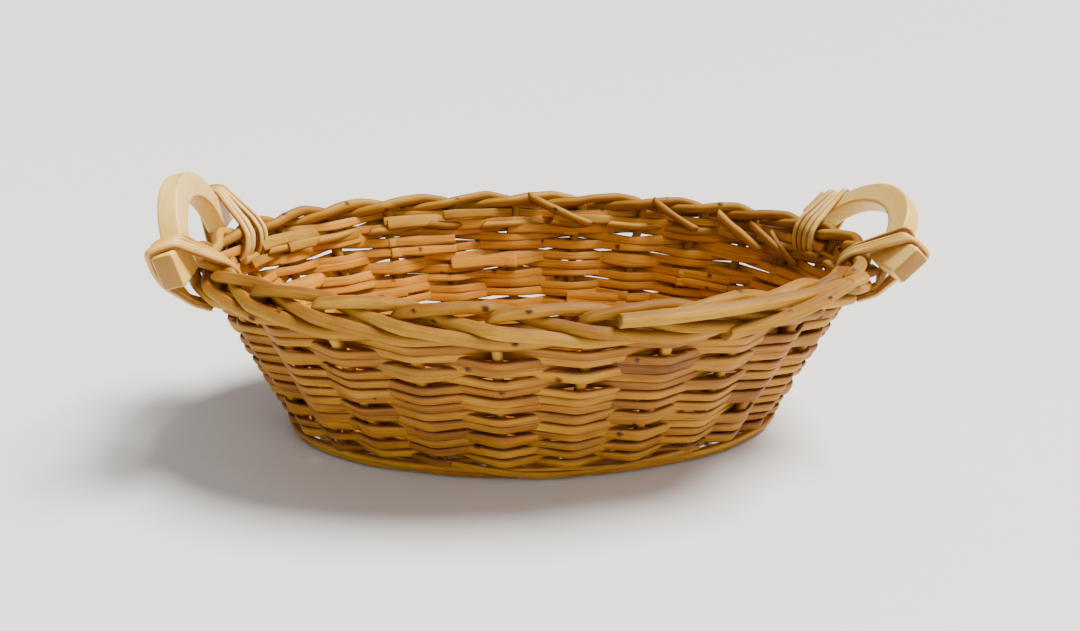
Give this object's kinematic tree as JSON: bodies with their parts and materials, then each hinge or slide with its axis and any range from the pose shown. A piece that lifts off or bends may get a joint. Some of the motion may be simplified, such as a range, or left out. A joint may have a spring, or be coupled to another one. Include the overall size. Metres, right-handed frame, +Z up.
{
  "type": "bread basket",
  "caption": "Oval open bread basket of woven split willow with a folded-down rod border and a small bent-wood handle lashed to each end.",
  "frame": {"origin": "on the surface the basket stands on, under the middle of the oval base", "axes": "+X along the length towards the right handle, +Y towards the back long side, +Z up"},
  "size_m": [0.3889, 0.2139, 0.1401],
  "materials": {
    "border_willow": "peeled round willow rod, pale straw cream, satin",
    "split_willow": "split willow strand, golden tan, slightly fibrous satin",
    "base_stick": "peeled willow stick, matt",
    "base_willow": "thin peeled willow, satin",
    "handle_wood": "smooth sanded pale wood, fine straight grain, satin",
    "round_cane": "peeled round willow binding, pale, satin"
  },
  "bodies": {
    "root": {"stake_01": "border_willow", "stake_02": "border_willow", "stake_03": "border_willow", "stake_04": "border_willow", "stake_05": "border_willow", "stake_06": "border_willow", "stake_07": "border_willow", "stake_08": "border_willow", "stake_09": "border_willow", "stake_10": "border_willow", "stake_11": "border_willow", "stake_12": "border_willow", "stake_13": "border_willow", "stake_14": "border_willow", "stake_15": "border_willow", "stake_16": "border_willow", "stake_17": "border_willow", "stake_18": "border_willow", "stake_19": "border_willow", "stake_20": "border_willow", "stake_21": "border_willow", "stake_22": "border_willow", "stake_23": "border_willow", "stake_24": "border_willow", "stake_25": "border_willow", "stake_26": "border_willow", "weave_row_01": "split_willow", "weave_row_02": "split_willow", "weave_row_03": "split_willow", "weave_row_04": "split_willow", "weave_row_05": "split_willow", "weave_row_06": "split_willow", "weave_row_07": "split_willow", "weave_row_08": "split_willow", "weave_row_09": "split_willow", "weave_row_10": "split_willow", "weave_row_11": "split_willow", "weave_row_12": "split_willow", "weave_row_13": "split_willow", "border_filler_rod": "border_willow", "foot_strand": "split_willow", "base_long_stick_1": "base_stick", "base_long_stick_2": "base_stick", "base_long_stick_3": "base_stick", "base_cross_stick_1": "base_stick", "base_cross_stick_2": "base_stick", "base_cross_stick_3": "base_stick", "base_cross_stick_4": "base_stick", "base_cross_stick_5": "base_stick", "base_weave_pair_1": "base_willow", "base_weave_pair_2": "base_willow", "base_weave_pair_3": "base_willow", "base_weave_pair_4": "base_willow", "base_weave_pair_5": "base_willow", "handle_left": "handle_wood", "handle_right": "handle_wood", "lashing_left_front": "round_cane", "lashing_left_back": "round_cane", "lashing_right_front": "round_cane", "lashing_right_back": "round_cane"}
  },
  "joints": []
}
